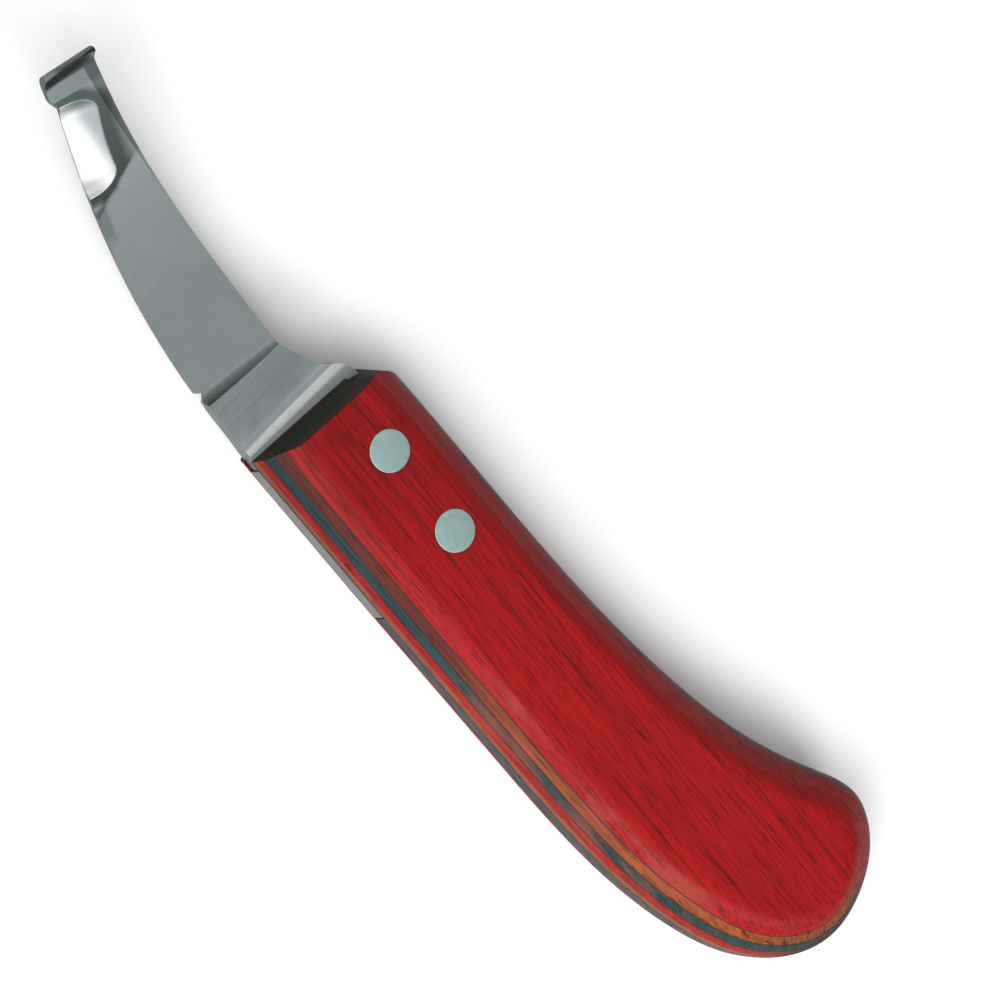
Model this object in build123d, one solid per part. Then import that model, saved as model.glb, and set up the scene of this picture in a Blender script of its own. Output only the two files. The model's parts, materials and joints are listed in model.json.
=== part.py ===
from build123d import *
import os
from math import asin, cos, degrees, radians, sin, sqrt

# A hoof knife: a bowed steel blade with a curled tip, its tang let into a slot in a one-piece
# handle of glued, dyed veneers, and held there by two two-part cutlery rivets.
#
# Millimetres. +X runs from the butt to the tip, +Y from the spine to the cutting edge, and +Z
# through the thickness, towards the side that the tip curls to. The origin is on the flat
# underside of the handle, midway between the rivets.

# ---------------------------------------------------------------- driving dimensions

# Handle block
handle_length = 140.4      # from the front end to the end of the butt
handle_thickness = 20.0
ply_count = 13
outer_ply_thickness = 2.05 # the veneer on each face is thicker than those between them
front_x = 23.0             # the front end, at mid thickness
front_crown = 1.5          # the front end is sanded back by this much at the two faces
front_slant = 3.0          # degrees: the front end leans forwards on the cutting-edge side
corner_radius = 8.0        # the front corner on the spine side is rounded off ...
corner_back = 1.0          # ... by a round that lies this far behind the front end
facet_in = 6.5             # the facet along each long corner: its width in from the side ...
facet_down = 5.6           # ... and its height down from the face
facet_side_radius = 7.0    # the facet is blended into the side ...
facet_face_radius = 5.0    # ... and into the face

# Handle outline seen from above, one smooth curve through these points: each is a share of the
# handle's length, counted back from the front end, and a Y. It starts and ends in front of it.
edge_side = [(-0.05, 19.2), (0.235, 18.5), (0.52, 17.6), (0.712, 16.2), (0.848, 12.2)]
butt = [(0.949, 4.7), (1.0, -8.2), (0.981, -19.6), (0.939, -26.8), (0.885, -29.7)]
spine_side = [(0.823, -26.5), (0.731, -20.8), (0.577, -15.9), (0.321, -13.2), (-0.05, -11.7)]

# Tang and ricasso, the thick flat steel behind the ground blade
tang_thickness = 3.6
tang_end_x = -14.5
tang_spine_y = -7.2
ricasso_edge_y = 18.6      # the ricasso is a little narrower than the handle
ricasso_thickness = 3.0
swell_start_x = 25.0       # between these the steel thickens from ricasso to tang
swell_end_x = 31.0
shoulder_x = 36.0          # the ricasso ends here and curves down to the ground blade
shoulder_radius = 2.5      # radius of that curve
shoulder_slant = 0.1       # the shoulder leans this much forwards per mm of +Y
ricasso_spine = [(21.5, tang_spine_y), (25.3, -5.9), (27.6, -3.2), (31.5, -1.0)]

# Ground blade seen from the side
blade_length = 66.6        # from the shoulder to the start of the curl
blade_thickness = 2.0      # at the spine
grind_slope = 0.085        # the upper face drops this much per mm of +Y, to a thin cutting edge
bow_start_x = 40.0
bow_radius = 170.0         # at mid thickness
curl_radius = 3.2          # at mid thickness
curl_angle = 100.0         # degrees: the slope at which the outside of the curl ends
curl_grind_angle = 60.0    # degrees: from here the inside of the curl is ground thin
lip_length = 1.2
lip_thickness = 0.35
lip_arc_radius = 12.5      # the end of the lip is an arc, seen along the blade
bow_slant = 0.2            # the bow and the curl lean this much forwards per mm of +Y

# Ground blade seen from above: each point is a share of the blade's length, and a Y
blade_spine = [(0.0, 0.7), (0.345, 0.2), (0.66, -0.5), (1.0, -2.7)]
cutting_edge = [(0.06, 18.4), (0.39, 15.8), (0.69, 11.8), (0.946, 7.5)]
heel_back = 2.3            # a small notch parts the cutting edge from the ricasso behind it
heel_y = 18.3
heel_notch_depth = 1.2
wing_width = 0.8           # the curled tip stands out this much beyond the neck behind it
wing_length = 3.0
tip_run = 11.4             # the outline runs on this far past the start of the curl ...
tip_spine_y = -4.2         # ... and ends on this line, with the wing drawn in again
tip_edge_y = 6.6

# Hollow behind the curled tip, cut with a barrel-shaped grinding wheel
hollow_radius = 18.0
hollow_length = 25.0
hollow_end_radius = 6.5
hollow_back = 12.2         # the middle of the wheel lies this far behind the start of the curl
hollow_y = 10.3
hollow_depth = 0.83        # below the blade's face at the middle of the wheel
hollow_heading = -12.0     # degrees, seen from above: the wheel runs along the cutting edge

# Rivets: a tube with a head from below takes a pin with a head from above
rivet_spacing = 19.4
rivet_head_diameter = 8.0
rivet_head_height = 1.6
rivet_tube_diameter = 4.8
rivet_pin_diameter = 3.2
rivet_floor = 1.4          # metal between the tube's head and its blind bore

# Fits
tang_clearance = 0.3       # between the tang's end or spine and the slot
head_clearance = 0.08      # radial, round a rivet head
tube_clearance = 0.05      # radial, round a rivet tube
rivet_end_gap = 0.4        # between the tube's mouth and the pin's head, and under the pin

# ---------------------------------------------------------------- worked out from them

mid_z = handle_thickness / 2
inner_ply_thickness = (handle_thickness - 2 * outer_ply_thickness) / (ply_count - 2)
tang_half = tang_thickness / 2
ricasso_half = ricasso_thickness / 2
blade_half = blade_thickness / 2
shoulder_drop = ricasso_half - blade_half
shoulder_end_x = shoulder_x + sqrt(shoulder_drop * (2 * shoulder_radius - shoulder_drop))
curl_start_x = shoulder_x + blade_length
bow_angle = degrees(asin((curl_start_x - bow_start_x) / bow_radius))
reach = 2 * (handle_length + blade_length)    # well clear of the knife, for the cutting tools
sliver = 0.01              # a thin slice, and the slack for telling heights apart


def between(low, high):
    """The box with these two opposite corners."""
    size = [b - a for a, b in zip(low, high)]
    return Pos(*low) * Box(*size, align=(Align.MIN, Align.MIN, Align.MIN))


def upright(diameter, bottom, top):
    """A cylinder along Z, centred on X and Y, from one height to another."""
    shape = Cylinder(diameter / 2, top - bottom, align=(Align.CENTER, Align.CENTER, Align.MIN))
    return Pos(0, 0, bottom) * shape


def at_rivets(shape):
    """The shape, copied to the front and the rear rivet."""
    return [Pos(x, 0, 0) * shape for x in (rivet_spacing / 2, -rivet_spacing / 2)]


# ---------------------------------------------------------------- handle

def handle_plan():
    """The handle seen from above, run on past its front end."""
    points = [(front_x - share * handle_length, y) for share, y in edge_side + butt + spine_side]
    return make_face(Spline(points) + Line(points[-1], points[0]))


def rim(solid, z):
    """The long curved edge that follows the outline at height z."""
    edges = solid.edges().filter_by(GeomType.BSPLINE)
    return [e for e in edges if abs(e.center().Z - z) < sliver and e.length > handle_length]


def face_at(solid, z):
    """The flat face of the solid at height z."""
    faces = solid.faces().filter_by(GeomType.PLANE)
    return [f for f in faces if abs(f.center().Z - z) < sliver][0]


def front_trim():
    """All that lies behind the crowned, slightly slanted front end."""
    back_x = front_x - front_crown
    crown = ThreePointArc((back_x, 0), (front_x, mid_z), (back_x, handle_thickness))
    rest = Polyline((back_x, handle_thickness), (-reach, handle_thickness), (-reach, 0), (back_x, 0))
    solid = extrude(Plane.XZ * make_face(crown + rest), reach, both=True)
    return solid.rotate(Axis((front_x, 0, 0), (0, 0, 1)), -front_slant)


def spine_y(x):
    """How far the handle reaches on the spine side at this distance along it."""
    slice_here = handle_plan() & (Pos(x, 0) * Rectangle(sliver, reach))
    return slice_here.bounding_box().min.Y


def corner_piece():
    """What is taken off the front corner on the spine side."""
    x = front_x - corner_radius - corner_back
    y = spine_y(x) + corner_radius
    square = between((x, y - 2 * corner_radius, 0), (reach, y, handle_thickness))
    return square - Pos(x, y) * upright(2 * corner_radius, 0, handle_thickness)


def handle_block():
    """The shaped block before it is drilled and slotted."""
    block = extrude(handle_plan(), handle_thickness)
    for z in (0, handle_thickness):
        block = chamfer(rim(block, z), facet_in, facet_down, reference=face_at(block, z))
    for z in (facet_down, handle_thickness - facet_down):
        block = fillet(rim(block, z), facet_side_radius)
    for z in (0, handle_thickness):
        block = fillet(rim(block, z), facet_face_radius)
    return (block & front_trim()) - corner_piece()


def tang_slot():
    """The slot for the tang, open at the front and on the cutting-edge side."""
    low = (tang_end_x - tang_clearance, tang_spine_y - tang_clearance, mid_z - tang_half)
    return between(low, (reach, reach, mid_z + tang_half))


def rivet_holes():
    """A hole for each rivet tube, with a counterbore for the head at both ends."""
    head = rivet_head_diameter + 2 * head_clearance
    hole = upright(rivet_tube_diameter + 2 * tube_clearance, 0, handle_thickness)
    hole += upright(head, 0, rivet_head_height)
    hole += upright(head, handle_thickness - rivet_head_height, handle_thickness)
    return at_rivets(hole)


def plies():
    """The finished handle, parted at its glue lines into its veneers, from the bottom up."""
    block = handle_block() - tang_slot() - rivet_holes()
    joints = [outer_ply_thickness + number * inner_ply_thickness for number in range(ply_count - 1)]
    for bottom, top in zip([0] + joints, joints + [handle_thickness]):
        yield block & between((-reach, -reach, bottom), (reach, reach, top))


# ---------------------------------------------------------------- blade

def turned(centre, radius, angle):
    """The point on a circle in the side view at which its slope is this many degrees."""
    a = radians(angle)
    return (centre[0] + radius * sin(a), centre[1] - radius * cos(a))


def turned_arc(centre, radius, start, end):
    """The arc of that circle between two slopes."""
    points = [turned(centre, radius, angle) for angle in (start, (start + end) / 2, end)]
    return ThreePointArc(*points)


def bow_and_curl():
    """The centres of the bow's arc and of the curl's arc in the side view."""
    bow = (bow_start_x, mid_z + bow_radius)
    return bow, turned(bow, bow_radius - curl_radius, bow_angle)


def outer_line():
    """The underside of the blade in the side view: level, bowed, curled up, and a short lip."""
    bow, curl = bow_and_curl()
    line = Line((swell_end_x, mid_z - blade_half), (bow_start_x, mid_z - blade_half))
    line += turned_arc(bow, bow_radius + blade_half, 0, bow_angle)
    line += turned_arc(curl, curl_radius + blade_half, bow_angle, curl_angle)
    return line + PolarLine(turned(curl, curl_radius + blade_half, curl_angle), lip_length, curl_angle)


def inner_line(start_x):
    """The upper face of the blade from start_x on, with the inside of the curl ground thin."""
    bow, curl = bow_and_curl()
    line = Line((start_x, mid_z + blade_half), (bow_start_x, mid_z + blade_half))
    line += turned_arc(bow, bow_radius - blade_half, 0, bow_angle)
    line += turned_arc(curl, curl_radius - blade_half, bow_angle, curl_grind_angle)
    lip_edge = PolarLine(outer_line() @ 1, lip_thickness, curl_angle + 90)
    return line + Line(line @ 1, lip_edge @ 1)


def blade_side():
    """The ground blade seen from the side, before its upper face is ground to a slope."""
    outer = outer_line()
    inner = inner_line(swell_end_x)
    return Plane.XZ * make_face(outer + Line(outer @ 1, inner @ 1) + inner + Line(inner @ 0, outer @ 0))


def over(line):
    """All that lies above a line in the side view."""
    top = line.bounding_box().max.Y + reach
    start = line @ 0
    end = line @ 1
    lid = Polyline((end.X, end.Y), (end.X, top), (start.X, top), (start.X, start.Y))
    return Plane.XZ * make_face(line + lid)


def face_grind():
    """What is ground off above the blade's face: more of it, the nearer to the cutting edge."""
    z = mid_z + blade_half
    centre = (shoulder_end_x, z + shoulder_radius)
    shoulder = turned_arc(centre, shoulder_radius, -90, 0) + Line((shoulder_end_x, z), (bow_start_x, z))
    behind = extrude(over(shoulder), reach, dir=Vector(shoulder_slant, 1, -grind_slope))
    ahead = over(inner_line(shoulder_end_x))
    return behind + extrude(ahead, reach, dir=Vector(bow_slant, 1, -grind_slope))


def lip_trim():
    """What is taken off the end of the lip, so that it is an arc across the blade."""
    top = blade_side().bounding_box().max.Z
    middle = (tip_spine_y + tip_edge_y) / 2
    arc = Rot(0, 90, 0) * Cylinder(lip_arc_radius, reach)
    above = between((curl_start_x, -reach, top - curl_radius), (reach, reach, reach))
    return above - Pos(curl_start_x, middle, top - lip_arc_radius) * arc


def tang_side():
    """Tang, swell and ricasso seen from the side, with the step down on the underside."""
    level = Line((tang_end_x, -tang_half), (swell_start_x, -tang_half))
    corners = [(swell_start_x, -tang_half), (swell_end_x, -ricasso_half)]
    swell = Spline(corners, tangents=[(1, 0), (1, 0)])
    flat = Line(swell @ 1, (shoulder_x, -ricasso_half))
    end = shoulder_end_x
    step = TangentArc((end, -blade_half), flat @ 1, tangent=(-1, 0))
    front = Polyline((end, -blade_half), (end, ricasso_half), (swell_end_x, ricasso_half))
    upper = mirror(level + swell, Plane.XZ)
    back = Line((tang_end_x, tang_half), (tang_end_x, -tang_half))
    return Plane.XZ * (Pos(0, mid_z) * make_face(level + swell + flat + step + front + upper + back))


def tang_plan():
    """The tang seen from above: flush with the handle on the cutting-edge side."""
    window = Rectangle(ricasso_spine[0][0] - tang_end_x, reach, align=(Align.MIN, Align.MIN))
    return handle_plan() & (Pos(tang_end_x, tang_spine_y) * window)


def steel_plan():
    """Ricasso and blade seen from above, with the heel notch and the wider tip."""
    spine = [(shoulder_x + share * blade_length, y) for share, y in blade_spine]
    spine.append((curl_start_x + tip_run, tip_spine_y))
    edge = [(shoulder_x + share * blade_length, y) for share, y in cutting_edge]
    neck = edge[-1]
    wing = (neck[0] + wing_length, neck[1] + wing_width)
    heel = (edge[0][0] - heel_back, heel_y)
    notch = (edge[0][0] - heel_back / 2, heel_y - heel_notch_depth)
    ricasso_edge = (ricasso_spine[0][0], ricasso_edge_y)
    outline = Spline(ricasso_spine + [spine[0]])
    outline += Spline(spine)
    outline += Polyline(spine[-1], (spine[-1][0], tip_edge_y), wing)
    outline += Spline([neck, wing], tangents=[(1, 0.2), (1, 0)])
    outline += Spline(edge)
    outline += Polyline(edge[0], notch, heel, ricasso_edge, ricasso_spine[0])
    return make_face(outline)


def hollow_wheel():
    """The barrel-shaped grinding wheel that cuts the hollow behind the tip."""
    wheel = Cylinder(hollow_radius, hollow_length)
    wheel = fillet(wheel.edges().filter_by(GeomType.CIRCLE), hollow_end_radius)
    x = curl_start_x - hollow_back
    slope = degrees(asin((x - bow_slant * hollow_y - bow_start_x) / bow_radius))
    bow_rise = bow_radius * (1 - cos(radians(slope)))
    face_z = mid_z + blade_half + bow_rise - grind_slope * hollow_y
    lowest = Pos(x, hollow_y, face_z - hollow_depth)
    heading = Rot(0, 0, hollow_heading) * Rot(0, 90 - slope, 0)
    return lowest * heading * Pos(-hollow_radius, 0, 0) * wheel


def blade():
    """The one piece of steel: tang, ricasso, bowed blade and curled tip."""
    slanted = Vector(bow_slant, 1, 0)
    ground = extrude(blade_side(), reach, dir=slanted) + extrude(blade_side(), -reach, dir=slanted)
    thick = extrude(tang_side(), reach, both=True)
    front = (ground + thick) & extrude(steel_plan(), reach)
    front -= face_grind()
    front -= hollow_wheel()
    front -= lip_trim()
    tang = thick & extrude(tang_plan(), handle_thickness)
    holes = at_rivets(upright(rivet_tube_diameter + 2 * tube_clearance, 0, handle_thickness))
    return front + tang - holes


# ---------------------------------------------------------------- rivets

def rivet_tube():
    """The half with the blind tube, pushed in from below."""
    mouth = handle_thickness - rivet_head_height - rivet_end_gap
    shape = upright(rivet_head_diameter, 0, rivet_head_height)
    shape += upright(rivet_tube_diameter, rivet_head_height, mouth)
    return shape - upright(rivet_pin_diameter, rivet_head_height + rivet_floor, mouth)


def rivet_pin():
    """The half with the solid pin, pressed into the tube from above."""
    head = handle_thickness - rivet_head_height
    shape = upright(rivet_head_diameter, head, handle_thickness)
    return shape + upright(rivet_pin_diameter, rivet_head_height + rivet_floor + rivet_end_gap, head)


# ---------------------------------------------------------------- write the parts

nodes = {"blade": blade()}
for number, ply in enumerate(plies(), start=1):
    nodes[f"ply_{number:02d}"] = ply
for name, tube, pin in zip(("front", "rear"), at_rivets(rivet_tube()), at_rivets(rivet_pin())):
    nodes[f"rivet_{name}_tube"] = tube
    nodes[f"rivet_{name}_pin"] = pin

os.makedirs("parts", exist_ok=True)
for name, shape in nodes.items():
    export_step(shape, f"parts/{name}.step")
    print(f"{name}: {len(shape.solids())} solid, {shape.volume:.0f} mm3")
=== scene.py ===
# %% [markdown]
# # A hoof knife
# A farrier trims hoofs with this knife. It is a bowed steel blade with a curled tip, in a handle
# glued up from dyed veneers, and two rivets hold the two together. The sizes, the holes and the
# fits are already settled in the CAD frame, so this script does not draw the knife again. It
# gives each piece its finish, and it turns the four rivet parts afresh, with the soft edges
# that a drawing leaves out.

# %% Load the frame
import json
import bpy
import numpy as np
from mathutils import Matrix, Vector


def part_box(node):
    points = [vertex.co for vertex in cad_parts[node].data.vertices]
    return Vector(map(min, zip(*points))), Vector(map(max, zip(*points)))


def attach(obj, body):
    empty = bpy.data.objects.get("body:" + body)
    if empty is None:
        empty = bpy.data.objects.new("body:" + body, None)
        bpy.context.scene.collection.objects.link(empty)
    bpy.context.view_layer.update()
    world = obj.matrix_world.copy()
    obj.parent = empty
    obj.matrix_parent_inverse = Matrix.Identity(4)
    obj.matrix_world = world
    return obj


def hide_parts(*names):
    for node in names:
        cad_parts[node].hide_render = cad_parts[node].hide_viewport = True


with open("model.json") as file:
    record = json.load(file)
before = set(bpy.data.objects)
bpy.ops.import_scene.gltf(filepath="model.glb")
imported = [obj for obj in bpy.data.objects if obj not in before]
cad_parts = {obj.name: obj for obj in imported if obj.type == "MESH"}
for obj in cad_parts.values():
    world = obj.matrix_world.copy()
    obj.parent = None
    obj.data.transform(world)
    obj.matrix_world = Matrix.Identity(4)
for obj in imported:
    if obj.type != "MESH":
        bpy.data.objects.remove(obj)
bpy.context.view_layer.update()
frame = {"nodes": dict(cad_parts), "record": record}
nodes = frame["nodes"]
MM = 0.001
print("pieces in the frame:", len(nodes))

# %% [markdown]
# ## Where things are
# The handle lies flat along X on the floor, so the top of its highest veneer is its thickness.
# The second veneer's box gives the heights of the two lowest glue lines, and the blade's box
# gives its reach. They are read from the frame, so the stripes follow when the drawing changes.

# %% Read the sizes
plies = sorted(name for name in nodes if name.startswith("ply_"))
handle_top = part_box(plies[-1])[1][2]
outer_ply, second_joint = (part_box(plies[1])[end][2] for end in (0, 1))
inner_ply = second_joint - outer_ply
blade_end, _, blade_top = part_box("blade")[1]
print("veneers:", len(plies), "of", round(inner_ply / MM, 2), "mm, outside", round(outer_ply / MM, 2))
print("the blade reaches x =", round(blade_end / MM, 1), "mm")

# %% [markdown]
# ## Shader maths in plain Python
# A material is a network of nodes, and drawing one by hand hides the idea behind the wires. The
# small class below wraps one output socket. Adding or multiplying two of them adds the Math node
# that does it, so a pattern reads like a formula. Colours and vectors have nodes of their own,
# because a Math node would turn a colour grey.

# %% A socket that can be calculated with
class Wire:
    """An output socket of a material's node."""

    def __init__(self, material, socket):
        self.material = material
        self.socket = socket

    def calc(self, operation, *inputs):
        """A Math node with this operation on these values or wires."""
        return self.material.node("ShaderNodeMath", {"operation": operation}, dict(enumerate(inputs)))

    def __add__(self, other):
        return self.calc("ADD", self, other)

    def __radd__(self, other):
        return self.calc("ADD", other, self)

    def __sub__(self, other):
        return self.calc("SUBTRACT", self, other)

    def __rsub__(self, other):
        return self.calc("SUBTRACT", other, self)

    def __mul__(self, other):
        return self.calc("MULTIPLY", self, other)

    def __rmul__(self, other):
        return self.calc("MULTIPLY", other, self)

    def __truediv__(self, other):
        return self.calc("DIVIDE", self, other)

    def size(self):
        """The value without its sign."""
        return self.calc("ABSOLUTE", self)

    def largest(self, other):
        """The larger of the two."""
        return self.calc("MAXIMUM", self, other)

    def root(self):
        """The square root."""
        return self.calc("SQRT", self)

    def fraction(self):
        """What is left over after the last whole number."""
        return self.calc("FRACT", self)

    def step(self, low, high):
        """A soft step: 0 below low, 1 above high. With low above high it falls instead."""
        settings = {"interpolation_type": "SMOOTHSTEP"}
        if low < high:
            return self.material.node("ShaderNodeMapRange", settings, {0: self, 1: low, 2: high})
        return 1 - self.step(high, low)


# %% [markdown]
# A material keeps the one method that makes nodes. A node's settings are set first, because some
# of them change which sockets it has. The methods after it are short names for what the finishes
# here need: a noise that can be stretched, a mix of two colours, and a bump. Every material also
# knows the place on the object, in millimetres.

# %% A material that makes its own nodes
class Finish:
    """A material under construction, with a Principled shader at its end."""

    def __init__(self, name):
        self.material = bpy.data.materials.new(name)
        self.material.use_nodes = True
        self.tree = self.material.node_tree
        self.shader = self.tree.nodes["Principled BSDF"]
        place = self.node("ShaderNodeTexCoord", {}, {}, "Object")
        self.place = self.vector("SCALE", place, Scale=1 / MM)
        self.x, self.y, self.z = self.parts(self.place)

    def node(self, kind, settings, inputs, output=0):
        """Adds a node of this kind, sets it, fills its sockets, and gives one of its outputs."""
        node = self.tree.nodes.new(kind)
        for name, value in settings.items():
            setattr(node, name, value)
        for name, value in inputs.items():
            self.fill(node.inputs[name], value)
        return Wire(self, node.outputs[output])

    def fill(self, socket, value):
        """Links a wire to a socket, or sets the socket to a value."""
        if isinstance(value, Wire):
            self.tree.links.new(value.socket, socket)
        elif hasattr(value, "__len__") and len(value) == 3 and socket.type == "RGBA":
            socket.default_value = (*value, 1)
        else:
            socket.default_value = value

    def vector(self, operation, *inputs, output=0, **named):
        """A Vector Math node."""
        sockets = dict(enumerate(inputs)) | named
        return self.node("ShaderNodeVectorMath", {"operation": operation}, sockets, output)

    def parts(self, wire):
        """The three parts of a vector."""
        split = self.node("ShaderNodeSeparateXYZ", {}, {0: wire}).socket.node
        return [Wire(self, socket) for socket in split.outputs]

    def facing(self):
        """The three parts of the direction in which the surface faces."""
        return self.parts(self.node("ShaderNodeNewGeometry", {}, {}, "Normal"))

    def noise(self, lengths, detail=2.0, roughness=0.5, shift=(0, 0, 0), distortion=0.0):
        """Noise from 0 to 1 whose blotches are about this many millimetres long each way."""
        stretched = self.vector("DIVIDE", self.place, lengths)
        moved = self.vector("ADD", stretched, shift)
        sockets = {"Vector": moved, "Scale": 1.0, "Detail": detail, "Roughness": roughness}
        return self.node("ShaderNodeTexNoise", {}, sockets | {"Distortion": distortion})

    def mix(self, factor, first, second):
        """The first colour where the factor is 0 and the second where it is 1."""
        settings = {"data_type": "RGBA", "clamp_factor": True}
        return self.node("ShaderNodeMix", settings, {0: factor, 6: first, 7: second}, 2)

    def bump(self, height, distance, strength=1.0, below=None):
        """A normal that is tilted as if the surface rose by height times distance."""
        sockets = {"Height": height, "Distance": distance, "Strength": strength}
        if below:
            sockets["Normal"] = below
        return self.node("ShaderNodeBump", {}, sockets)

    def shade(self, **sockets):
        """Sets or links sockets of the Principled shader, with _ for a space in a name."""
        for name, value in sockets.items():
            self.fill(self.shader.inputs[name.replace("_", " ")], value)
        return self.material


print("shader helpers are ready")

# %% [markdown]
# ## Dyed veneer
# The handle is pakka wood: thin birch veneers, soaked in dye, pressed together with resin, then
# ground to shape, so that the slopes cut through the sheets like contour lines. Birch has fine,
# long fibres and short open pores, and the dye soaks into them unevenly. A picture of wood would
# be the quick way, but stretched noise does the same job and also goes right through the block:
# the grain on the top and the grain on the side then belong to the same piece of wood.

# %% The grain of a veneer
def grain(wood):
    """Three patterns, each 0 to 1: long fibres, short pores, and broad clouds in the dye."""
    fibres = wood.noise((22.0, 0.55, 0.7), detail=4.0, roughness=0.62, distortion=0.15)
    pores = wood.noise((5.0, 0.22, 0.3), detail=1.5, roughness=0.5, shift=(7.0, 3.0, 11.0))
    clouds = wood.noise((26.0, 9.0, 4.0), detail=3.0, roughness=0.55, shift=(2.0, 5.0, 1.0))
    return fibres.step(0.38, 0.66), pores.step(0.56, 0.70), clouds.step(0.32, 0.68)


def glue_line(wood):
    """1 on the dark resin line between two veneers, 0 elsewhere.

    A saw-tooth of the height above the lowest joint, over the thickness of a veneer, is 0 and 1
    at the joints. So its distance from a half, taken from a half, leads to the nearest joint.
    """
    first, thickness = outer_ply / MM, inner_ply / MM
    last = handle_top / MM - first
    tooth = ((wood.z - first) / thickness).fraction()
    joint = (0.5 - (tooth - 0.5).size()) * thickness
    inside = wood.z.step(first - 0.5, first - 0.4) * wood.z.step(last + 0.5, last + 0.4)
    return joint.step(0.16, 0.05) * inside


print("grain patterns are ready")

# %% [markdown]
# A tool that has been used is not even. A palm rubs the lacquer dull on the long facet that lies
# in it, and that facet is also painted lighter, a painted highlight where the light falls on it.
# On the spine side and low round the very end of the butt, a dark red is painted over the stripes
# and almost hides them: painted shade, where those faces turn from the light. Both follow the way
# the surface faces, which tells the facet, the side and the butt apart without drawing a line
# round any of them.

# %% Palm wear with a painted highlight, and painted shade
PALM_FROM, PALM_TO = -26.0, -104.0


def palm_wear_and_highlight(wood, across):
    """1 where a palm has rubbed the lacquer dull and a painted highlight lightens it: blotches on the
    facet by the cutting edge.
    """
    facet = across.step(0.25, 0.45) * across.step(0.97, 0.85)
    reach = wood.x.step(PALM_FROM, PALM_FROM - 18) * wood.x.step(PALM_TO, PALM_TO + 14)
    blotches = wood.noise((16.0, 5.0, 5.0), detail=4.0, roughness=0.6, shift=(4.0, 9.0, 2.0))
    return facet * reach * blotches.step(0.40, 0.62)


def red_painted_shade(wood, along, across):
    """1 where dark red painted shade hides the stripes: on the spine side, and low on the butt."""
    spine_side_shade = across.step(-0.15, -0.40)
    butt_shade = along.step(-0.62, -0.85) * wood.z.step(18.5, 17.0)
    return spine_side_shade.largest(butt_shade)


print("the palm lies from x =", PALM_FROM, "to", PALM_TO, "mm")

# %% [markdown]
# The dye decides the colour and the lacquer decides the shine. Pores and resin are darker than
# the sheet, end grain drinks more dye and is painted darker still as shade, and the bump lets
# pores sink in by a few hundredths of a millimetre. The lacquer is the shader's coat, a thin clear
# layer with a shine of its own. The brown sheet turns orange towards the butt, and every sheet is
# darker near the blade, where fingers and grease have been.

# %% One veneer finish for each dye
DYES = {
    "veneer_red": ((0.33, 0.008, 0.008), (0.15, 0.005, 0.006)),
    "veneer_dark_red": ((0.14, 0.008, 0.008), (0.07, 0.005, 0.006)),
    "veneer_teal": ((0.022, 0.050, 0.048), (0.009, 0.024, 0.027)),
    "veneer_orange": ((0.26, 0.062, 0.022), (0.13, 0.028, 0.011)),
    "veneer_brown": ((0.11, 0.018, 0.013), (0.05, 0.010, 0.008)),
}
BUTT_DYES = {"veneer_brown": (0.29, 0.072, 0.016)}
# Painted shade: dark reds laid over the stripes on the spine side and low on the butt.
SHADE_RED = (0.24, 0.008, 0.008)
DEEP_SHADE_RED = (0.055, 0.008, 0.010)
# End grain is darker, and painted darker still as shade.
END_GRAIN_AND_SHADE = (0.016, 0.028, 0.022)
RESIN = (0.02, 0.015, 0.012)
# Painted highlight: the lighter colour of the lit, palm-worn facet.
HIGHLIT_WORN_LACQUER = (0.26, 0.060, 0.042)


def veneer(name, light, dark):
    """The finish of one dye, from its colour in the sheet and its darker colour in the fibres."""
    wood = Finish(name)
    fibres, pores, clouds = grain(wood)
    streaks = wood.noise((34.0, 1.1, 1.6), detail=2.0, shift=(1.0, 8.0, 5.0)).step(0.54, 0.68)
    along, across, _ = wood.facing()
    resin = glue_line(wood)
    ends = along.size().step(0.55, 0.9)
    worn_and_highlit = palm_wear_and_highlight(wood, across)
    near_blade = wood.x.step(-30.0, 20.0)
    towards_butt = wood.x.step(-20.0, -60.0)
    darker = fibres * 0.5 + clouds * 0.2 + streaks * 0.5 + near_blade * 0.35
    colour = wood.mix(towards_butt, light, BUTT_DYES.get(name, light))
    colour = wood.mix(darker, colour, dark)
    colour = wood.mix(pores * 0.7, colour, tuple(0.35 * part for part in dark))
    # Painted highlight on the palm-worn facet.
    colour = wood.mix(worn_and_highlit * 0.5, colour, HIGHLIT_WORN_LACQUER)
    colour = wood.mix(resin * 0.75, colour, RESIN)
    # Painted shade: dark red, darker lower down, over the stripes on the spine side and the butt.
    shaded_red = wood.mix(wood.z.step(14.6, 16.2), DEEP_SHADE_RED, SHADE_RED)
    shaded_red = wood.mix(fibres * 0.4 + streaks * 0.3, shaded_red, DEEP_SHADE_RED)
    colour = wood.mix(red_painted_shade(wood, along, across) * 0.85, colour, shaded_red)
    # End grain, darkened partly as painted shade.
    colour = wood.mix(ends * 0.85, colour, END_GRAIN_AND_SHADE)
    height = fibres * 0.25 - pores * 0.6 - resin * 0.5
    return wood.shade(
        Base_Color=colour,
        Roughness=0.42 + fibres * 0.12 + pores * 0.2 + ends * 0.2 + worn_and_highlit * 0.15,
        Normal=wood.bump(height, 0.05 * MM, 0.6),
        IOR=1.5,
        Specular_IOR_Level=0.08,
        Coat_Weight=0.04 - ends * 0.04,
        Coat_Roughness=0.32,
    )


finishes = {name: veneer(name, *dye) for name, dye in DYES.items()}
print("veneer finishes:", ", ".join(finishes))

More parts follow.
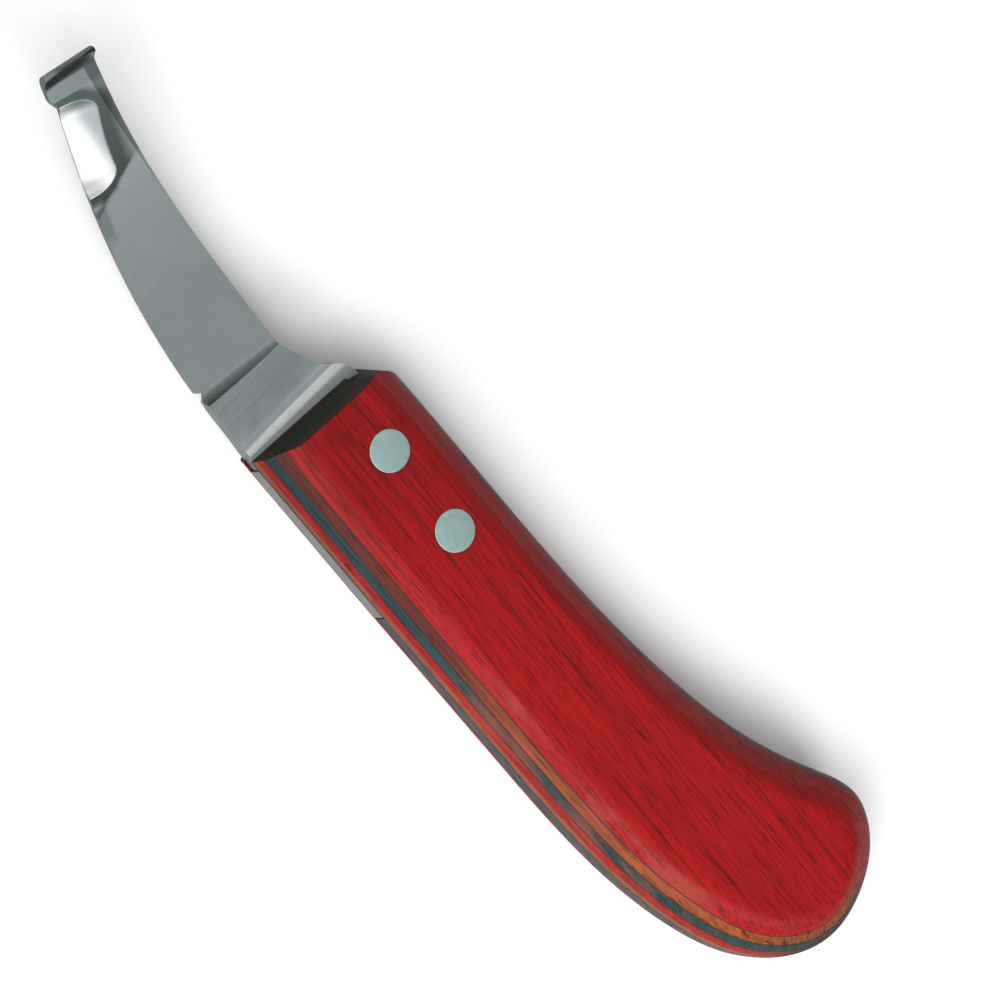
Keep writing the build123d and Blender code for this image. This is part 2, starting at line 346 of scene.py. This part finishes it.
# %% [markdown]
# ## Ground steel
# The blade is carbon steel, ground on belts and wheels, so its surface is a field of fine
# scratches that run across it, from the spine to the edge. Scratches blur a reflection, which is
# why the flat looks an even grey. The hollow behind the tip comes off a finer wheel and is
# smoother, and its colour is painted much paler towards the cutting edge, a painted highlight. To
# know where that wheel has been, the shader works out the distance to the wheel's own rounded
# surface: it is nothing in the hollow, and grows outside.

# %% Where the finer wheel has been
WHEEL_CENTRE = (blade_end / MM - 21.74, 11.36, blade_top / MM + 6.74)
WHEEL_AXIS = (0.938, -0.199, 0.284)
WHEEL_RADIUS = 18.0
WHEEL_HALF_LENGTH = 12.5
WHEEL_END_RADIUS = 6.5


def height_over_wheel(metal):
    """Millimetres from a point to the grinding wheel that cut the hollow.

    The distance to the axis is the length of the cross product of the axis and the line from the
    wheel's centre. The wheel's own radius shrinks along a quarter circle near its two ends.
    """
    arm = metal.vector("SUBTRACT", metal.place, WHEEL_CENTRE)
    across = metal.vector("CROSS_PRODUCT", arm, WHEEL_AXIS)
    distance = metal.vector("LENGTH", across, output="Value")
    along = metal.vector("DOT_PRODUCT", arm, WHEEL_AXIS, output="Value").size()
    over = (along - (WHEEL_HALF_LENGTH - WHEEL_END_RADIUS)).largest(0)
    drop = WHEEL_END_RADIUS - (WHEEL_END_RADIUS ** 2 - over * over).largest(0).root()
    beyond = along.step(WHEEL_HALF_LENGTH - 1, WHEEL_HALF_LENGTH)
    return distance - WHEEL_RADIUS + drop + beyond * WHEEL_RADIUS


print("the wheel's centre:", [round(part, 1) for part in WHEEL_CENTRE], "mm")

# %% [markdown]
# All of the blade is one finish, because it is one piece of steel, and masks choose between its
# surfaces. A dark crease of painted shade across the blade marks where the flat ends. In front of
# it the steel is blended by hand, a little smoother than the flat, and painted shade darkens it
# round the hollow and on the curl; more painted shade lies on the strip by the cutting edge behind
# the blend, and grows a little towards the tip. The ricasso is the thick part next to the handle,
# and it swells towards the tang.

# %% The surfaces of the blade
CREASE_LEAN = 0.36
CREASE_BACK = 24.9
RICASSO_FRONT = 36.2
SWELL_BACK, SWELL_FRONT = 22.0, 28.5


def blade_surfaces(metal, upper):
    """Masks for the hollow, the blended tip, all painted shade, the ricasso, and its swell, which
    gets a painted highlight.
    """
    tip = blade_end / MM
    wander = metal.noise((3.0, 3.0, 3.0), detail=2.0) - 0.5
    past_crease = metal.x + CREASE_LEAN * metal.y + wander * 1.2 - (tip - CREASE_BACK)
    blended = past_crease.step(-0.4, 0.4) * upper
    # Painted shade along the crease where the flat ends.
    crease_shade = past_crease.size().step(1.1, 0.1) * metal.y.step(0.0, 6.0) * upper
    rim = height_over_wheel(metal)
    hollow = rim.step(0.14, 0.04) * upper
    # Painted shade round the hollow.
    shade_round_hollow = rim.step(3.0, 0.1) * (1 - hollow) * blended
    # Painted shade on the strip by the cutting edge.
    edge_strip_shade = (metal.y + 0.22 * metal.x).step(27.3, 28.1) * metal.x.step(tip - 37, tip - 33)
    # Painted shade on the curl.
    curl_shade = metal.x.step(tip - 10, tip - 7) * 0.45 + metal.x.step(tip - 4, tip - 3) * 0.4
    dark = shade_round_hollow + crease_shade * 0.45 + edge_strip_shade * (1 - blended) * 0.35 + curl_shade
    # Painted shade growing towards the tip.
    dark = dark + metal.x.step(58.0, 80.0) * 0.16
    ricasso = metal.x.step(RICASSO_FRONT, RICASSO_FRONT - 0.6)
    swell = metal.x.step(SWELL_FRONT, SWELL_FRONT - 3) * metal.x.step(SWELL_BACK, SWELL_BACK + 2)
    return hollow, blended, dark, ricasso, swell * upper


print("the flat ends", CREASE_BACK, "mm behind the tip")

# %% [markdown]
# Three sizes of noise make the marks: hair-fine scratches, the coarser marks of a belt on the
# ricasso, and a mottled grain in the steel. Scratches that run from spine to edge are long in Y
# and very short in X. The hollow's colour goes from grey to a much paler grey at the edge, a
# painted highlight. Pale bands on the swell are a painted highlight too, and the blade's narrow
# sides are painted dark as shade.

# %% The finish of the blade
STEEL = ((0.19, 0.228, 0.226), (0.32, 0.37, 0.37))
STAINED_STEEL = (0.19, 0.21, 0.20)
# Painted highlight on the swell.
SWELL_HIGHLIGHT_PAINT = (0.90, 0.93, 0.93)
# Painted shade on the blade's narrow sides.
SHADED_SIDE_STEEL = (0.07, 0.08, 0.076)
# Painted shade.
PAINTED_SHADE_STEEL = (0.05, 0.065, 0.063)
# The hollow's grey, and the paler grey of its painted highlight by the edge.
HOLLOW_STEEL_AND_HIGHLIGHT = ((0.21, 0.235, 0.235), (0.66, 0.66, 0.66))


def steel():
    """Ground steel: brushed flat, belt-marked ricasso, and a bright hollow, with painted shade and
    painted highlights.
    """
    metal = Finish("blade_steel")
    upwards = metal.facing()[2]
    hollow, blended, dark, ricasso, swell = blade_surfaces(metal, upwards.step(0.2, 0.5))
    belt = metal.noise((0.5, 40.0, 6.0), detail=3.0, roughness=0.6)
    highlight_bands = metal.noise((1.1, 60.0, 9.0), detail=1.0, shift=(3.0, 0.0, 0.0)).step(0.45, 0.6)
    fine = metal.noise((0.09, 7.0, 7.0), detail=3.0, roughness=0.6)
    mottle = metal.noise((0.6, 0.6, 0.6), detail=3.0, roughness=0.7)
    stain = metal.noise((9.0, 7.0, 9.0), detail=4.0, roughness=0.6).step(0.45, 0.75)
    tone = (mottle - 0.5) * 0.35 + (fine - 0.5) * 0.3 + ricasso * (belt - 0.35) * 0.8
    colour = metal.mix(0.45 + tone, *STEEL)
    colour = metal.mix(stain * 0.2, colour, STAINED_STEEL)
    # Painted highlight: pale bands on the swell.
    colour = metal.mix(swell * (0.15 + highlight_bands * 0.5), colour, SWELL_HIGHLIGHT_PAINT)
    # Painted shade on the narrow sides, which face away from the light.
    colour = metal.mix(upwards.size().step(0.5, 0.2) * 0.6, colour, SHADED_SIDE_STEEL)
    # Painted shade from the masks of blade_surfaces.
    colour = metal.mix(dark, colour, PAINTED_SHADE_STEEL)
    # The hollow, painted paler towards the edge as a painted highlight.
    colour = metal.mix(hollow, colour, metal.mix(metal.y.step(3.5, 8.5), *HOLLOW_STEEL_AND_HIGHLIGHT))
    rough = 0.42 + (fine - 0.5) * 0.12 + stain * 0.06 - blended * 0.08 + hollow * 0.10
    scratched = metal.bump(fine * (1 - hollow * 0.8), 0.01 * MM, 0.5)
    bumpy = metal.bump(belt * ricasso, 0.03 * MM, 0.6, below=scratched)
    return metal.shade(Base_Color=colour, Metallic=1.0, Roughness=rough, Normal=bumpy)


finishes["blade_steel"] = steel()
print("steel nodes:", len(finishes["blade_steel"].node_tree.nodes))

# %% [markdown]
# ## Rivets
# The rivets are soft aluminium. After they are pressed home, the whole handle is sanded with the
# heads in place, so the heads end up flush, dull, and scratched along the handle like the wood.
# Each scratch is long and thin, so once more the noise is stretched, this time along X.

# %% The finish of the rivets
def sanded_aluminium():
    """Dull pale metal with sanding scratches along the handle, and fine pits."""
    metal = Finish("rivet_metal")
    scratches = metal.noise((9.0, 0.08, 0.3), detail=3.0, roughness=0.65)
    pits = metal.noise((0.35, 0.35, 0.35), detail=2.0).step(0.60, 0.72)
    cloud = metal.noise((2.2, 1.6, 2.0), detail=3.0)
    tone = (scratches - 0.5) * 0.8 + (cloud - 0.5) * 0.7 + 0.5
    colour = metal.mix(tone, (0.24, 0.35, 0.335), (0.39, 0.52, 0.50))
    colour = metal.mix(pits * 0.2, colour, (0.16, 0.22, 0.21))
    normal = metal.bump(scratches - pits * 0.8, 0.02 * MM, 0.6)
    rough = 0.5 + (scratches - 0.5) * 0.2 + pits * 0.15
    return metal.shade(Base_Color=colour, Metallic=0.85, Roughness=rough, Normal=normal)


finishes["rivet_metal"] = sanded_aluminium()
print("rivet nodes:", len(finishes["rivet_metal"].node_tree.nodes))

# %% [markdown]
# The record says which finish each node of the frame takes. A CAD node keeps its shape, and only
# the material in its slot is changed.

# %% Give the frame its finishes
slots = {piece["node"]: piece["material_slot"] for piece in frame["record"]["subparts"]}
for name, piece in nodes.items():
    for slot in piece.material_slots:
        slot.material = finishes[slots[name]]
print("finished:", len(slots), "nodes with", len(set(slots.values())), "finishes")

# %% [markdown]
# ## Turned rivets
# Each rivet is two turned pieces, a tube with a head and a pin with a head, and the pin is
# pressed into the tube. A lathe never leaves a truly sharp corner, and the thin bright line on a
# real head comes from that small round. So each half is drawn again as a profile that turns
# round its own axis, with its corners rounded, from the radii and heights in the frame.

# %% A profile with rounded corners, and a surface turned from it
def rounded(corners, round_size, steps=5):
    """The profile with every inner corner replaced by a short curve.

    On both legs of a corner a point is taken at the round's size from it, but no further than
    the middle of the leg. Between them runs a parabola: one minus s squared times the first
    point, two s times one minus s times the corner, and s squared times the second.
    """
    corners = np.array(corners, float)
    before, corner, after = corners[:-2], corners[1:-1], corners[2:]
    legs = [before - corner, after - corner]
    lengths = [np.linalg.norm(leg, axis=1, keepdims=True) for leg in legs]
    first, second = [
        corner + leg / length * np.minimum(round_size, length / 2)
        for leg, length in zip(legs, lengths)
    ]
    s = np.linspace(0, 1, steps)[:, None, None]
    curve = (1 - s) ** 2 * first + 2 * s * (1 - s) * corner + s**2 * second
    inner = curve.transpose(1, 0, 2).reshape(-1, 2)
    return np.vstack([corners[:1], inner, corners[-1:]])


def turned(name, profile, centre, around=96):
    """A closed mesh made by turning a profile of (radius, height) about an upright axis.

    A point is the centre plus radius times cosine, radius times sine, and height. The profile
    starts and ends on the axis, and each of those ends is a single point, a fan round it.
    """
    radius, height = profile[1:-1].T
    angle = np.linspace(0, 2 * np.pi, around, endpoint=False)
    ring = np.stack([np.cos(angle), np.sin(angle)], axis=1)
    wall = np.empty((len(radius), around, 3))
    wall[..., :2] = np.array(centre) + radius[:, None, None] * ring
    wall[..., 2] = height[:, None]
    poles = [[*centre, profile[0][1]], [*centre, profile[-1][1]]]
    points = np.vstack([wall.reshape(-1, 3), poles])
    index = np.arange(wall[..., 0].size).reshape(len(radius), around)
    turn = np.roll(index, -1, axis=1)
    quads = np.stack([index[:-1], turn[:-1], turn[1:], index[1:]], axis=-1).reshape(-1, 4)
    start = np.full(around, len(points) - 2)
    end = np.full(around, len(points) - 1)
    fans = np.vstack([
        np.stack([start, turn[0], index[0]], axis=1),
        np.stack([end, index[-1], turn[-1]], axis=1),
    ])
    mesh = bpy.data.meshes.new(name)
    mesh.from_pydata(points.tolist(), [], quads.tolist() + fans.tolist())
    mesh.shade_smooth()
    piece = bpy.data.objects.new(name, mesh)
    bpy.context.scene.collection.objects.link(piece)
    return piece


print("a head's corner becomes", len(rounded([(0, 0), (1, 0), (1, 1)], 0.2)) - 2, "points")

# %% [markdown]
# The frame's mesh already knows the radii: every point of a rivet lies on one of its walls, so
# the different distances from the axis are the tube's bore, its outside and its head.

# %% Turn the four rivet halves
EDGE_ROUND = 0.16 * MM


def radii_and_heights(name):
    """The rivet's centre, and its different radii and heights in order, from the frame's mesh."""
    mesh = nodes[name].data
    points = np.empty(len(mesh.vertices) * 3)
    mesh.vertices.foreach_get("co", points)
    points = points.reshape(-1, 3)
    low, high = (np.array(corner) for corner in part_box(name))
    centre = ((low + high) / 2)[:2]
    radii = np.hypot(*(points[:, :2] - centre).T)
    return centre, np.unique(radii.round(5)), np.unique(points[:, 2].round(5))


for name in sorted(name for name in nodes if name.startswith("rivet_")):
    centre, radii, heights = radii_and_heights(name)
    radii = radii[radii > EDGE_ROUND]
    if name.endswith("_tube"):
        bore, wall, head = radii
        bottom, under_head, bore_end, mouth = heights
        corners = [(0, bottom), (head, bottom), (head, under_head), (wall, under_head)]
        corners += [(wall, mouth), (bore, mouth), (bore, bore_end), (0, bore_end)]
    else:
        pin, head = radii
        end, under_head, top = heights
        corners = [(0, end), (pin, end), (pin, under_head), (head, under_head)]
        corners += [(head, top), (0, top)]
    piece = turned(f"{name}_turned", rounded(corners, EDGE_ROUND), centre)
    piece.data.materials.append(finishes["rivet_metal"])
    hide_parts(name)
    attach(piece, "root")
    print(name, "radii", (radii / MM).round(2), "mm, faces", len(piece.data.polygons))

# %% [markdown]
# ## Floor, light and camera
# The knife lies on a plain pale floor. One low soft light comes in over the cutting edge and
# brightens the long facet. A wide one above fills the face, from a little towards the same side,
# so that the spine side stays darker. One behind the butt shows in the bright hollow, and a
# small one overhead catches the swell where the ricasso thickens towards the tang.

# %% The floor
def plane(name, size, height):
    """A square centred on the origin."""
    half = size / 2
    sides = ((-half, -half), (half, -half), (half, half), (-half, half))
    corners = [(x, y, height) for x, y in sides]
    mesh = bpy.data.meshes.new(name)
    mesh.from_pydata(corners, [], [(0, 1, 2, 3)])
    piece = bpy.data.objects.new(name, mesh)
    bpy.context.scene.collection.objects.link(piece)
    return piece


FLOOR_SIZE = 12.0
FLOOR_DROP = 0.05 * MM
floor = plane("floor", FLOOR_SIZE, -FLOOR_DROP)
paper = Finish("paper")
floor.data.materials.append(paper.shade(Base_Color=(0.93, 0.93, 0.93), Roughness=0.9))
print("floor:", floor.dimensions[0], "m wide")

# %% The lights
target = Vector((-14.9, -13.4, 10.0)) * MM    # the middle of the view


def soft_light(name, direction, distance, width, height, power):
    """A rectangle of light at this distance from the knife, facing it."""
    lamp = bpy.data.lights.new(name, "AREA")
    lamp.shape = "RECTANGLE"
    lamp.size = width
    lamp.size_y = height
    lamp.energy = power
    holder = bpy.data.objects.new(name, lamp)
    away = Vector(direction).normalized()
    holder.location = target + away * distance
    holder.rotation_euler = away.to_track_quat("Z", "Y").to_euler()
    bpy.context.scene.collection.objects.link(holder)


soft_light("edge_light", (-0.35, 0.85, 0.43), 0.9, 0.50, 0.30, 2.4)
soft_light("top_light", (0.12, 0.60, 0.80), 1.0, 0.90, 0.70, 9.0)
soft_light("butt_light", (-0.74, 0.24, 0.62), 0.9, 0.40, 0.30, 3.5)
soft_light("swell_light", (-0.02, -0.29, 0.95), 0.9, 0.12, 0.20, 0.5)

ROOM_GREY = 0.33
world = bpy.data.worlds.new("studio")
world.use_nodes = True
room = world.node_tree.nodes["Background"].inputs["Color"]
room.default_value = (ROOM_GREY, ROOM_GREY, ROOM_GREY, 1)
bpy.context.scene.world = world
bpy.context.scene.view_settings.view_transform = "Standard"
print("lights:", len(bpy.data.lights))

# %% [markdown]
# The camera stands far off with a long lens, so parallel edges stay parallel, as they do in a
# catalogue picture. Its place is given as a compass bearing, a height and a roll, because three
# angles are easier to picture than a matrix.

# %% The camera
BEARING = np.radians(43.93)
ELEVATION = np.radians(65.0)
ROLL = np.radians(94.0)
DISTANCE = 6.0
FIELD = 179.86 * MM
SENSOR = 36.0

back = Vector((
    np.cos(ELEVATION) * np.cos(BEARING),
    np.cos(ELEVATION) * np.sin(BEARING),
    np.sin(ELEVATION),
))
level = Vector((-np.sin(BEARING), np.cos(BEARING), 0))
right = np.cos(ROLL) * level + np.sin(ROLL) * back.cross(level)
up = back.cross(right)
camera = bpy.data.objects.new("camera", bpy.data.cameras.new("camera"))
camera.data.sensor_width = SENSOR
camera.data.lens = SENSOR * DISTANCE / FIELD
turn = Matrix((right, up, back)).transposed().to_4x4()
camera.matrix_world = Matrix.Translation(target + back * DISTANCE) @ turn
bpy.context.scene.collection.objects.link(camera)
bpy.context.scene.camera = camera
print("lens:", round(camera.data.lens), "mm")
